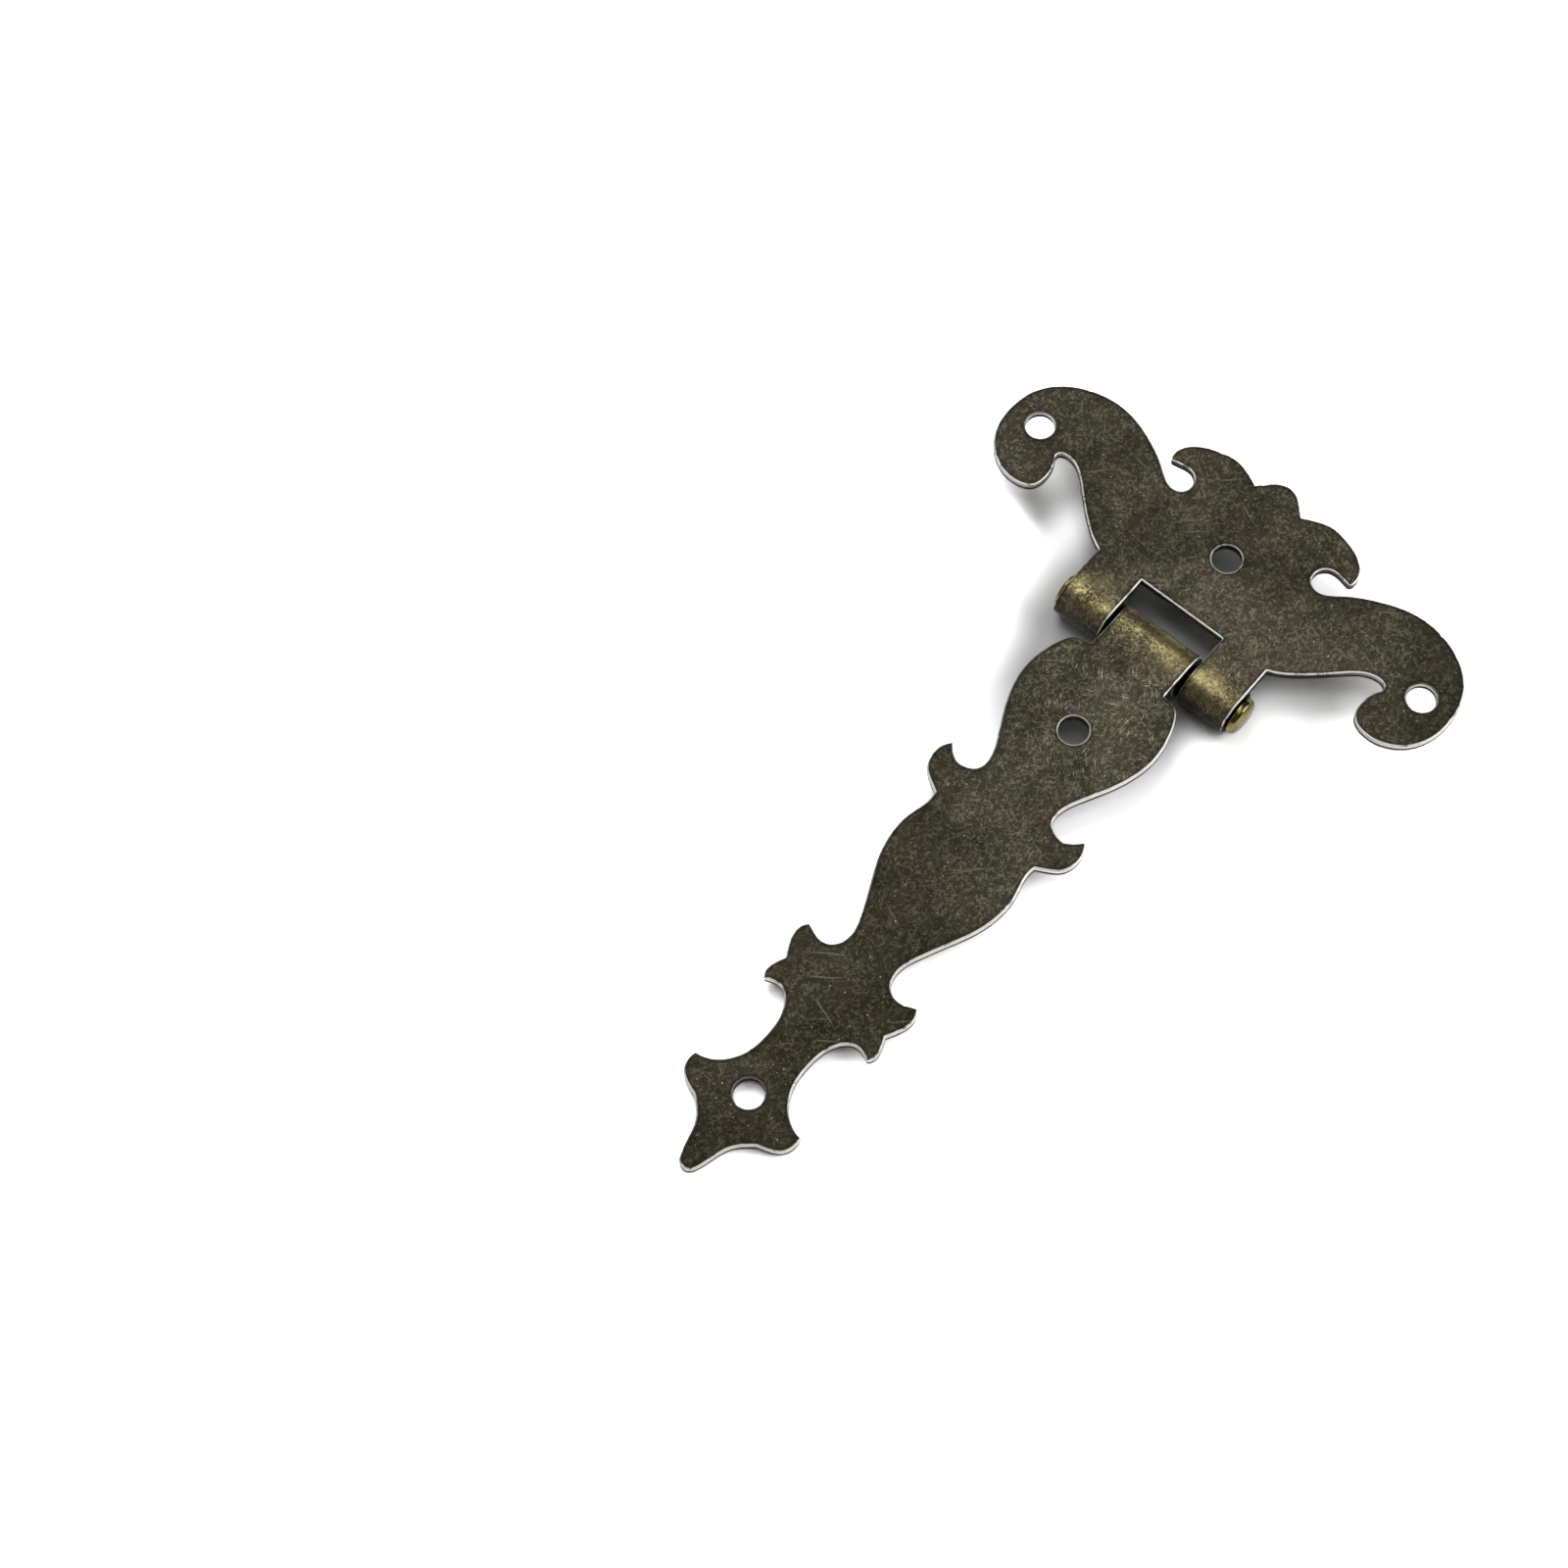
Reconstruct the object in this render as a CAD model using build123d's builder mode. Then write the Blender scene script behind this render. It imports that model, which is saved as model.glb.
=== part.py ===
"""Stamped box hinge: a scrolled cross leaf and a long strap leaf on one headed pin.

Both leaves lie flat, mounting side down. +X runs along the pin to its domed head, +Y runs to the
crest of the cross leaf, +Z comes out of the finished side. The origin is the middle screw hole of
the cross leaf, on its mounting side.
"""
import os

from build123d import *

# Sheet, pin and fit
SHEET = 1.0              # thickness of the sheet that both leaves are stamped from
PIN_D = 3.0              # shank of the pin
PIN_PLAY = 0.05          # running clearance round the shank
ROLL_SWEEP = 300         # degrees that each knuckle is rolled round the pin
SCREW_D = 3.3            # every screw hole

# Knuckles, measured along the pin
MIDDLE_KNUCKLE = 9.2     # the strap leaf's one knuckle
OUTER_KNUCKLE = 5.7      # each of the cross leaf's two knuckles
SIDE_PLAY = 0.6          # gap between neighbouring knuckles
SLOT_DEPTH = 4.7         # from the pin axis to the back edge of the middle knuckle's slot

# Pin heads
HEAD_D = 4.4
HEAD_RIM = 0.45
HEAD_DOME = 0.75
HEAD_GAP = 0.1
PEEN_D = 3.9
PEEN_RIM = 0.2
PEEN_DOME = 0.45

# Places of the holes and of the ornament along the leaves
HOLE_ROW_TO_PIN = 12.25  # cross leaf: from its row of three holes to the pin axis
ARM_HOLE = 24.7          # cross leaf: from the middle hole to each arm's hole
CREST_RISE = 10.75       # cross leaf: from the row of holes to the top of the crest
SHOULDER = 4.2           # strap leaf: from the pin axis, as are the four below
NEAR_HOLE = 13.0
FIRST_HORN = 21.9
SECOND_HORN = 46.0
TAIL_HOLE = 63.05
TAIL_OVERHANG = 9.65     # from the tail hole to the strap's tip

# Sizes that follow from the ones above
BORE_R = PIN_D / 2 + PIN_PLAY
ROLL_R = BORE_R + SHEET
PIN_Y = -HOLE_ROW_TO_PIN
PIN_Z = SHEET - ROLL_R
NECK_X = MIDDLE_KNUCKLE / 2
SLOT_X = NECK_X + SIDE_PLAY
KNUCKLE_END = SLOT_X + OUTER_KNUCKLE

# Both leaves are drawn from the pin axis, which lies over this point of the mounting plane.
LEAF_PLANE = Plane(origin=(0, PIN_Y, 0))


def roll_plane(x):
    """Plane square to the pin at x, centred on its axis, with its own x along +Y."""
    return Plane(origin=(x, PIN_Y, PIN_Z), x_dir=(0, 1, 0), z_dir=(1, 0, 0))


def shifted(points, x=0.0, y=0.0):
    """Points of an outline, moved to the feature that they belong to."""
    return [(x + across, y + along) for across, along in points]


# Outline of half the cross leaf, between its corners. The crest, the horn and the curl beside it
# are drawn from the middle hole, the arm's end from the arm's own hole.
CREST = [(0, 0), (1.0, -0.25), (2.0, -1.0), (3.0, -2.05)]
HORN = [(4.6, 9.45), (6.3, 9.85), (8.0, 9.6), (9.6, 9.05), (10.9, 8.2), (11.6, 7.3), (11.75, 5.9)]
CURL = [(11.45, 5.55), (10.3, 5.75), (9.2, 5.8), (8.35, 5.3), (8.0, 4.4), (8.35, 3.35),
        (9.4, 2.95), (10.4, 3.25), (12.0, 4.4), (14.0, 5.6)]
ARM_END = [(-7.7, 6.85), (-4.9, 7.3), (-1.6, 6.75), (1.0, 5.4), (3.0, 3.1), (3.75, 0.2),
           (3.5, -2.7), (2.2, -5.1), (0.0, -6.55), (-2.3, -6.8), (-3.85, -6.1), (-4.35, -4.6),
           (-3.6, -1.95)]
NOTCH = [(-3.6, -1.95), (-3.8, -1.25), (-4.5, -1.05), (-6.2, -1.55)]
ARM_UNDERSIDE = [(16.5, -3.25), (14.0, -5.55), (12.5, -6.7)]

# Outline of half the strap leaf, each stretch from the station that it belongs to.
SHOULDER_LOBE = [(0.1, 0), (0.9, 0.1), (1.75, 0.35), (2.6, 1.4), (3.3, 3.3)]
HOLE_LOBE = [(8.3, -2.6), (7.9, 0.0), (7.0, 2.45)]
UNDER_FIRST_HORN = [(5.2, -2.9), (4.55, -1.0), (4.8, 0.5), (5.7, 1.15), (6.9, 1.25), (7.9, 0.6),
                    (8.5, 0)]
FIRST_HORN_BACK = [(8.5, 0), (9.15, 0.9), (9.3, 2.2), (8.7, 3.8), (7.4, 4.75), (6.4, 5.3)]
SECOND_LOBE = [(6.4, 5.3), (6.4, 6.9), (6.9, 9.0), (6.95, 11.3)]
UNDER_SECOND_HORN = [(6.3, -9.9), (5.1, -7.2), (3.7, -4.2), (3.1, -2.5), (3.1, -1.0), (3.7, 0.1),
                     (4.9, 0.6), (6.1, 0.3), (6.9, 0)]
SECOND_HORN_BACK = [(6.9, 0), (7.4, 0.7), (7.35, 2.2), (6.4, 4.2)]
BARB = [(6.4, 4.2), (6.85, 5.2), (7.05, 6.3), (6.6, 7.2)]
TAIL_WAIST = [(6.6, 7.2), (5.7, 6.85), (4.7, 6.8), (3.7, 7.5)]
TAIL_FLARE = [(2.85, -7.9), (2.6, -5.7), (2.85, -3.4), (3.6, -1.8), (4.8, -0.55), (6.7, 0.15)]
FLARE_BACK = [(6.7, 0.15), (6.85, 1.0), (6.4, 2.3), (5.4, 3.0), (4.0, 3.5)]
TAIL_POINT = [(4.0, -6.15), (3.0, -5.3), (2.2, -4.3), (1.65, -2.8), (1.2, -1.2), (0.7, -0.25),
              (0, 0)]


def draw_half_cross_leaf():
    """Lines of the half at x >= 0, from the top of the crest to the slot."""
    row = HOLE_ROW_TO_PIN
    cusp = shifted(CREST, y=row + CREST_RISE)
    horn = shifted(HORN, y=row)
    curl = shifted(CURL, y=row)
    arm = shifted(ARM_END, ARM_HOLE, row)
    notch = shifted(NOTCH, ARM_HOLE, row)
    root = (KNUCKLE_END, SLOT_DEPTH)
    Spline(*cusp)
    Spline(cusp[-1], *horn)
    Line(horn[-1], curl[0])
    Spline(*curl, *arm)
    Spline(*notch, *shifted(ARM_UNDERSIDE, y=row), root)
    Polyline(root, (KNUCKLE_END, 0), (SLOT_X, 0), (SLOT_X, SLOT_DEPTH), (0, SLOT_DEPTH))


def draw_half_strap_leaf():
    """Lines of the half at x >= 0, from the middle of the neck to the tip."""
    shoulder = shifted(SHOULDER_LOBE, NECK_X, SHOULDER)
    stretches = [
        shoulder + shifted(HOLE_LOBE, y=NEAR_HOLE) + shifted(UNDER_FIRST_HORN, y=FIRST_HORN),
        shifted(FIRST_HORN_BACK, y=FIRST_HORN),
        shifted(SECOND_LOBE, y=FIRST_HORN) + shifted(UNDER_SECOND_HORN, y=SECOND_HORN),
        shifted(SECOND_HORN_BACK, y=SECOND_HORN),
        shifted(BARB, y=SECOND_HORN),
        shifted(TAIL_WAIST, y=SECOND_HORN) + shifted(TAIL_FLARE, y=TAIL_HOLE),
        shifted(FLARE_BACK, y=TAIL_HOLE),
        shifted(TAIL_POINT, y=TAIL_HOLE + TAIL_OVERHANG),
    ]
    neck_corner = (shoulder[0][0], -SHOULDER)
    Polyline((0, 0), (NECK_X, 0), neck_corner)
    for stretch in stretches:
        Spline(*[(x, -along) for x, along in stretch])


def draw_roll(inward):
    """Section of one knuckle: the sheet runs on from the leaf's finished side round the pin.

    inward is +1 where the roll starts off towards +Y, -1 where it starts off towards -Y.
    """
    outer = CenterArc((0, 0), ROLL_R, 90, -inward * ROLL_SWEEP)
    inner = CenterArc((0, 0), BORE_R, 90, -inward * ROLL_SWEEP)
    Line(outer @ 0, inner @ 0)
    Line(outer @ 1, inner @ 1)


# Cross leaf: plate with three holes and a slot, and two outer knuckles
with BuildPart() as cross_leaf:
    with BuildSketch(LEAF_PLANE):
        with BuildLine():
            draw_half_cross_leaf()
            mirror(about=Plane.YZ)
        make_face()
        with Locations(*[(x, HOLE_ROW_TO_PIN) for x in (-ARM_HOLE, 0, ARM_HOLE)]):
            Circle(SCREW_D / 2, mode=Mode.SUBTRACT)
    extrude(amount=SHEET)
    for knuckle_start in (-KNUCKLE_END, SLOT_X):
        with BuildSketch(roll_plane(knuckle_start)):
            with BuildLine():
                draw_roll(inward=-1)
            make_face()
        extrude(amount=OUTER_KNUCKLE)

# Strap leaf: long plate with two holes and the middle knuckle
with BuildPart() as strap_leaf:
    with BuildSketch(LEAF_PLANE):
        with BuildLine():
            draw_half_strap_leaf()
            mirror(about=Plane.YZ)
        make_face()
        with Locations((0, -NEAR_HOLE), (0, -TAIL_HOLE)):
            Circle(SCREW_D / 2, mode=Mode.SUBTRACT)
    extrude(amount=SHEET)
    with BuildSketch(roll_plane(-NECK_X)):
        with BuildLine():
            draw_roll(inward=1)
        make_face()
    extrude(amount=MIDDLE_KNUCKLE)

# Pin: domed head at +X, end peened over the knuckle at -X
pin_plane = Plane(origin=(0, PIN_Y, PIN_Z), x_dir=(1, 0, 0), z_dir=(0, -1, 0))
head_face = KNUCKLE_END + HEAD_GAP
peen_face = -KNUCKLE_END
with BuildPart() as hinge_pin:
    with BuildSketch(pin_plane):
        with BuildLine():
            head_rim = head_face + HEAD_RIM
            peen_rim = peen_face - PEEN_RIM
            dome = TangentArc((head_rim + HEAD_DOME, 0), (head_rim, HEAD_D / 2), tangent=(0, 1))
            peen = TangentArc((peen_rim - PEEN_DOME, 0), (peen_rim, PEEN_D / 2), tangent=(0, 1))
            Polyline(dome @ 1, (head_face, HEAD_D / 2), (head_face, PIN_D / 2),
                     (peen_face, PIN_D / 2), (peen_face, PEEN_D / 2), peen @ 1)
            Line(peen @ 0, dome @ 0)
        make_face()
    revolve(axis=Axis((0, PIN_Y, PIN_Z), (1, 0, 0)))

os.makedirs("parts", exist_ok=True)
cross_leaf.part.label = "cross_leaf"
export_step(cross_leaf.part, "parts/cross_leaf.step")
strap_leaf.part.label = "strap_leaf"
export_step(strap_leaf.part, "parts/strap_leaf.step")
hinge_pin.part.label = "hinge_pin"
export_step(hinge_pin.part, "parts/hinge_pin.step")
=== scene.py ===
"""Looks of a stamped box hinge in antique bronze: scrolled cross leaf, long strap leaf, headed pin."""

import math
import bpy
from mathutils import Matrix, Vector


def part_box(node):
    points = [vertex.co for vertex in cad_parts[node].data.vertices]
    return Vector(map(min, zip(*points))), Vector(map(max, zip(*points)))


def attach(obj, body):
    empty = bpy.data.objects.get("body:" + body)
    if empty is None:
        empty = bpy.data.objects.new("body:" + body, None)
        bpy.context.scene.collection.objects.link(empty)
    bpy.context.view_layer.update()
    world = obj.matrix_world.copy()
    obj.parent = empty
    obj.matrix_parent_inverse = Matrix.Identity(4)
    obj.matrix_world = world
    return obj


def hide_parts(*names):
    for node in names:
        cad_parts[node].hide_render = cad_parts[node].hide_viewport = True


bl_info = {
    "name": "Box hinge",
    "version": (1, 0, 0),
    "blender": (4, 5, 0),
    "location": "View3D > Sidebar > Box hinge",
    "description": "Builds the finish of a stamped box hinge on its CAD frame",
    "category": "Object",
}

import bmesh
import bpy
import numpy as np
from mathutils import Matrix, Vector
from mathutils.geometry import delaunay_2d_cdt

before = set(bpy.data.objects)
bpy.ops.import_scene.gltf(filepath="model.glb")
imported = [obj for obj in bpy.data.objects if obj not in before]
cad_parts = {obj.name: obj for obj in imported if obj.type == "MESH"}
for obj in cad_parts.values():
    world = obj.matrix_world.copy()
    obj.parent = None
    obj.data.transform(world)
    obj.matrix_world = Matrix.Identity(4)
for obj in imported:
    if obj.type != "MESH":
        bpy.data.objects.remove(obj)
MM = 0.001
CROSS_BODY = "cross_leaf_and_pin"
STRAP_BODY = "strap"

# Outlines and edges of the leaves
SAME_PLACE = 2e-6                    # places and heights closer than this are the same
CORNER_DEGREES = 35                  # an outline that turns more sharply has a corner there
LIT_SIDE = np.array([0.6, -0.8])    # rims on edges that face this way get the most painted highlight
RAGGED = 0.03 * MM                   # depth of the fine raggedness along an edge
POINTS_PER_NICK = 26
SHADED_TO = 0.44 * MM                 # height of the painted shade on the lower part of a cut edge
CLEAN_FROM = 0.56 * MM               # height from which its upper part is bright
CLOSE_ROWS_TO = 0.4 * MM             # how far past the pin's axis the close rows of points run
ROW_PITCH = 0.87                     # distance of the rows on the plate, over the points' spacing

# Wear, painted highlight and painted sheen on the faces of the leaves
CROWN_ANGLE = 0.5                    # the most rubbed part of a knuckle and the middle of its painted highlight, in radians from its top
USE_AND_SHEEN_MIDDLE = (7 * MM, -8 * MM)          # middle of the handled area and of the painted sheen, from the middle of the pin
USE_AND_SHEEN_REACH = 22 * MM
FLECK_DENSITY = 45000.0              # flecks per square metre

# Sizes of the pin
SHANK_RADIUS = 1.5 * MM
HEAD_SHARE = 0.94                    # width of the head, over its width in the CAD
HEAD_DEPTH = 1.2 * MM
HEAD_DOME = 0.75 * MM
PEEN_RADIUS = 1.95 * MM
PEEN_DEPTH = 0.65 * MM
PEEN_DOME = 0.45 * MM
DOME_STEPS = 10
POINTS_AROUND = 72


# Sizes and colours

def size(name, description, default):
    """A length in metres, as a property."""
    return bpy.props.FloatProperty(name=name, description=description, default=default,
                                   subtype="DISTANCE", unit="LENGTH", precision=5)


def colour(name, description, default):
    """A linear colour, as a property."""
    return bpy.props.FloatVectorProperty(name=name, description=description, default=default,
                                         subtype="COLOR", size=3, min=0, max=1)


class BoxHingeSizes(bpy.types.PropertyGroup):
    outline_step: size("Outline step", "Spacing of the points along a leaf's edge", 0.2 * MM)
    roll_step: size("Roll step", "Spacing of the points round a knuckle", 0.18 * MM)
    plate_step: size("Plate step", "Spacing of the points on the flat of a leaf", 0.8 * MM)
    edge_round: size("Edge round", "Width of the worn round on a leaf's finished edge", 0.14 * MM)
    rim_width: size("Rim width", "How far wear reaches in from a leaf's edge", 0.42 * MM)
    nick_depth: size("Nick depth", "Depth of the deepest nick in a leaf's edge", 0.11 * MM)
    hole_lip: size("Hole lip", "Lip that the punch left inside a screw hole", 0.08 * MM)
    plating: size("Plating", "Room left over the sheet for flecks on the finish", 0.012 * MM)
    fleck: size("Fleck", "Width of a common fleck", 0.11 * MM)
    roll_sweep: bpy.props.FloatProperty(
        name="Roll sweep", description="Angle that a knuckle is rolled round the pin",
        default=math.radians(300), subtype="ANGLE", unit="ROTATION")
    bore: size("Bore", "Inner radius of a knuckle", 1.55 * MM)
    sheet: size("Sheet", "Thickness of the sheet", 1.0 * MM)
    # reach of the painted shade that blackens the cut edges round the pin, for each leaf
    cross_shade: size("Cross leaf black", "Reach of the black on its cut edges", 30 * MM)
    strap_shade: size("Strap leaf black", "Reach of the black on its cut edges", 9.5 * MM)


class BoxHingeColours(bpy.types.PropertyGroup):
    olive: colour("Olive", "Greenish bronze of the finish", (0.0265, 0.026, 0.0150))
    umber: colour("Umber", "Reddish bronze of the finish", (0.0325, 0.0260, 0.0160))
    dust: colour("Dust", "Light speckle in the finish", (0.165, 0.152, 0.105))
    brass: colour("Brass", "Plating where a knuckle is rubbed", (0.29, 0.245, 0.11))
    steel: colour("Steel", "Bare sheet at cut and worn edges", (0.98, 0.95, 0.87))
    floor: colour("Floor", "White table under the hinge", (0.97, 0.97, 0.97))


# Outline of a leaf

def flat_face_loops(node):
    """Closed outlines of the CAD leaf's flat finished face, material on the left of each."""
    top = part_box(node)[1].z
    bm = bmesh.new()
    bm.from_mesh(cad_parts[node].data)
    bmesh.ops.remove_doubles(bm, verts=bm.verts, dist=1e-7)
    sides = []
    for face in bm.faces:
        if all(abs(v.co.z - top) < SAME_PLACE for v in face.verts):
            for corner in face.loops:
                sides.append((corner.vert.index, corner.link_loop_next.vert.index))
    places = {v.index: (v.co.x, v.co.y) for v in bm.verts}
    bm.free()
    known = set(sides)
    follow = {a: b for a, b in sides if (b, a) not in known}
    loops = []
    while follow:
        start = next(iter(follow))
        chain, at = [start], follow.pop(start)
        while at != start:
            chain.append(at)
            at = follow.pop(at)
        loops.append(np.array([places[i] for i in chain]))
    return loops


def unit(vectors):
    """The vectors, each with a length of one."""
    return vectors / np.maximum(np.linalg.norm(vectors, axis=1, keepdims=True), 1e-12)


def smooth_outline(points, step):
    """Even points on a smooth curve through a closed outline, with its corners kept."""
    before = points - np.roll(points, 1, 0)
    after = np.roll(points, -1, 0) - points
    reach, length = np.linalg.norm(before, axis=1), np.linalg.norm(after, axis=1)
    cosine = (unit(before) * unit(after)).sum(1)
    corner = cosine < math.cos(math.radians(CORNER_DEGREES))
    tangent = unit(unit(before) * length[:, None] + unit(after) * reach[:, None])
    made = []
    count = len(points)
    for i in range(count):
        j = (i + 1) % count
        chord = after[i] / length[i]
        start, end = tangent[i], tangent[j]
        if corner[i] and corner[j]:
            start = end = chord
        elif corner[i]:
            start = 2 * (end @ chord) * chord - end
        elif corner[j]:
            end = 2 * (start @ chord) * chord - start
        pieces = max(1, round(length[i] / step))
        for k in range(pieces):
            t = k / pieces
            made.append((2 * t**3 - 3 * t**2 + 1) * points[i]
                        + (t**3 - 2 * t**2 + t) * length[i] * start
                        + (3 * t**2 - 2 * t**3) * points[j]
                        + (t**3 - t**2) * length[i] * end)
    return np.array(made)


def inward_normals(loop):
    """Unit normals into the material at the points of one outline."""
    before = unit(loop - np.roll(loop, 1, 0))
    after = unit(np.roll(loop, -1, 0) - loop)
    along = unit(before + after)
    return np.stack([-along[:, 1], along[:, 0]], 1)


def room_inside(points, normals):
    """Radius of the largest circle that fits inside the material at each edge point."""
    room = np.full(len(points), 1.0)
    for i, (p, n) in enumerate(zip(points, normals)):
        away = points - p
        square = (away ** 2).sum(1)
        toward = away @ n
        counted = toward > 0.03 * np.sqrt(square) + 1e-9
        if counted.any():
            room[i] = (square[counted] / (2 * toward[counted])).min()
    return room


def inside(points, loops):
    """Which points lie in the material bounded by the outlines."""
    hit = np.zeros(len(points), bool)
    for loop in loops:
        for a, b in zip(loop, np.roll(loop, -1, 0)):
            crosses = (a[1] > points[:, 1]) != (b[1] > points[:, 1])
            if crosses.any() and a[1] != b[1]:
                x = a[0] + (points[:, 1] - a[1]) * (b[0] - a[0]) / (b[1] - a[1])
                hit ^= crosses & (points[:, 0] < x)
    return hit


# One leaf, cut and rolled from a flat sheet

def pin_axis_y():
    """Y of the pin's axis."""
    low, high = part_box("hinge_pin")
    return (low.y + high.y) / 2


def roll_length():
    """Length of flat sheet that one knuckle takes."""
    sizes = bpy.context.scene.box_hinge_sizes
    return sizes.roll_sweep * (sizes.bore + sizes.sheet / 2)


def flat_outlines(node, inward):
    """Smooth outlines of a leaf before it is rolled, with its knuckles laid out flat past the pin."""
    sizes = bpy.context.scene.box_hinge_sizes
    loops = []
    for loop in flat_face_loops(node):
        loop = loop.copy()
        at_axis = np.abs(loop[:, 1] - pin_axis_y()) < SAME_PLACE
        loop[at_axis, 1] -= inward * roll_length()
        loops.append(smooth_outline(loop, sizes.outline_step))
    return loops


class LeafEdge:
    """Points round every outline of a leaf, with their wear, the painted highlight on their rims and
    their nicks.
    """

    def __init__(self, loops, seed):
        self.points = np.concatenate(loops)
        self.normals = np.concatenate([inward_normals(loop) for loop in loops])
        self.starts = np.cumsum([0] + [len(loop) for loop in loops])
        self.count = len(self.points)
        self.following = np.concatenate([np.roll(np.arange(a, b), -1) for a, b in self.spans()])
        self.room = room_inside(self.points, self.normals)
        self.paint_lit_sides()
        self.wear_and_shade_holes(loops)
        self.nick(seed)

    def spans(self):
        """Where each outline starts and where it ends."""
        return zip(self.starts, self.starts[1:])

    def paint_lit_sides(self):
        """Painted highlight: brighter rims on the sides of the leaf that face the pin's head and the
        strap's tip.
        """
        facing = -self.normals @ LIT_SIDE
        self.rim_wear_and_highlight = 0.12 + 0.88 * np.clip(facing + 0.35, 0, 1)

    def wear_and_shade_holes(self, loops):
        """Punched lips, with a worn rim near the knuckles and painted shade on the walls along the
        middle line.
        """
        sizes = bpy.context.scene.box_hinge_sizes
        self.hole_shade = np.zeros(self.count)
        longest = max(len(loop) for loop in loops)
        for loop, (start, end) in zip(loops, self.spans()):
            if len(loop) < longest:
                centre = loop.mean(axis=0)
                central = abs(centre[0]) < 10 * MM
                near_knuckles = centre[1] > -30 * MM
                self.points[start:end] -= self.normals[start:end] * sizes.hole_lip
                self.rim_wear_and_highlight[start:end] = 0.4 if central and near_knuckles else 0.12
                self.hole_shade[start:end] = central

    def nick(self, seed):
        """Depth of the ragged edge and of its nicks, at each point."""
        sizes = bpy.context.scene.box_hinge_sizes
        rng = np.random.default_rng(seed)
        count = self.count
        rough = np.tile(rng.random(count), 3)
        self.dent = RAGGED * np.convolve(rough, [0.25, 0.5, 0.25], "same")[count:2 * count]
        for centre in rng.integers(0, count, count // POINTS_PER_NICK):
            depth = sizes.nick_depth * rng.random() ** 2.2
            for offset in (-1, 0, 1):
                self.dent[(centre + offset) % count] += depth * (1 if offset == 0 else 0.45)
        self.dent = np.minimum(self.dent, 0.5 * self.room)

    def rings(self, top):
        """Places of the rings from under the edge to its finished side, and their marks."""
        sizes = bpy.context.scene.box_hinge_sizes
        share = np.minimum(1, 0.8 * self.room / sizes.rim_width)
        places, wall, rim, shade_band = [], [], [], []
        for inset, height, dented, wall_mark, rim_mark, shade_band_mark in ring_profile(top):
            ring = self.points + self.normals * (inset * share + dented * self.dent)[:, None]
            places.append(np.column_stack([ring, np.full(self.count, height)]))
            wall.append(np.full(self.count, float(wall_mark)))
            # a rim carries its wear and the painted highlight of the side it faces
            rim.append(rim_mark * self.rim_wear_and_highlight)
            # painted shade at the foot of each cut wall and on the whole wall of a central hole
            shade_band.append(np.maximum(shade_band_mark, self.hole_shade * (wall_mark == 1)))
        return places, wall, rim, shade_band

    def ring_faces(self, number):
        """Quads that join the rings."""
        faces = []
        for k in range(number - 1):
            low, high = k * self.count, (k + 1) * self.count
            for j in range(self.count):
                n = int(self.following[j])
                faces.append((low + j, low + n, high + n, high + j))
        return faces


def ring_profile(top):
    """Section of an edge, from under it up to its finished side.

    Each row holds how far in it lies, its height, its share of the nicks, and its marks as wall,
    rim and painted shade band (the foot of the wall, and a thin dark line inside the rim).
    """
    sizes = bpy.context.scene.box_hinge_sizes
    worn = sizes.edge_round
    return [(sizes.rim_width, 0.0, 0, 0, 0.0, 0),
            (0.05 * MM, 0.0, 0, 0.3, 0.0, 0.5),
            (0.0, 0.05 * MM, 0, 1, 0.0, 1),
            (0.0, SHADED_TO, 0.3, 1, 0.0, 1),
            (0.0, CLEAN_FROM, 0.5, 1, 0.0, 0),
            (0.0, top - 1.15 * worn, 0.7, 1, 0.1, 0),
            (0.06 * worn, top - 0.62 * worn, 1, 0.6, 1.0, 0),
            (0.3 * worn, top - 0.26 * worn, 1, 0.1, 1.0, 0),
            (0.75 * worn, top - 0.05 * worn, 0.9, 0, 0.9, 0.1),
            (1.25 * worn, top, 0.6, 0, 0.1, 1),
            (1.8 * worn, top, 0.3, 0, 0.0, 1),
            (sizes.rim_width, top, 0, 0, 0.0, 0.2)]


def sheet_grid(low, high, inward):
    """Points over the flat leaf: close rows where it gets rolled, wider ones on the plate."""
    sizes = bpy.context.scene.box_hinge_sizes
    axis_y = pin_axis_y()
    grid = []
    for y in np.arange(low.y - roll_length(), high.y + roll_length(), sizes.roll_step):
        if (y - axis_y) * inward < CLOSE_ROWS_TO:
            grid += [(x, y) for x in np.arange(low.x, high.x, 2 * sizes.roll_step)]
    for row, y in enumerate(np.arange(low.y, high.y, sizes.plate_step * ROW_PITCH), 1):
        if (y - axis_y) * inward >= CLOSE_ROWS_TO:
            shift = (row % 2) * sizes.plate_step / 2
            grid += [(x + shift, y) for x in np.arange(low.x, high.x, sizes.plate_step)]
    return np.array(grid)


def inner_grid(low, high, inward, inner_loops):
    """The grid points that lie in the material and clear of the innermost ring."""
    sizes = bpy.context.scene.box_hinge_sizes
    grid = sheet_grid(low, high, inward)
    grid = grid[inside(grid, inner_loops)]
    ring = np.concatenate(inner_loops)
    square = np.array([((ring - p) ** 2).sum(1).min() for p in grid])
    return grid[square > (0.75 * sizes.roll_step) ** 2]


def fill(inner_loops, following, grid):
    """Triangles over the innermost ring and the grid, as indices of the ring and then the grid."""
    flat = [Vector(p / MM) for p in np.concatenate([*inner_loops, grid])]
    edges = [(j, int(n)) for j, n in enumerate(following)]
    vertices, _, triangles, origins, _, _ = delaunay_2d_cdt(flat, edges, [], 0, 1e-6)
    source = [min(o) for o in origins]
    centres = np.array([sum((vertices[i] for i in t), Vector((0, 0))) / 3 for t in triangles]) * MM
    kept = inside(centres, inner_loops)
    return [[source[i] for i in t] for t, keep in zip(triangles, kept) if keep]


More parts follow.
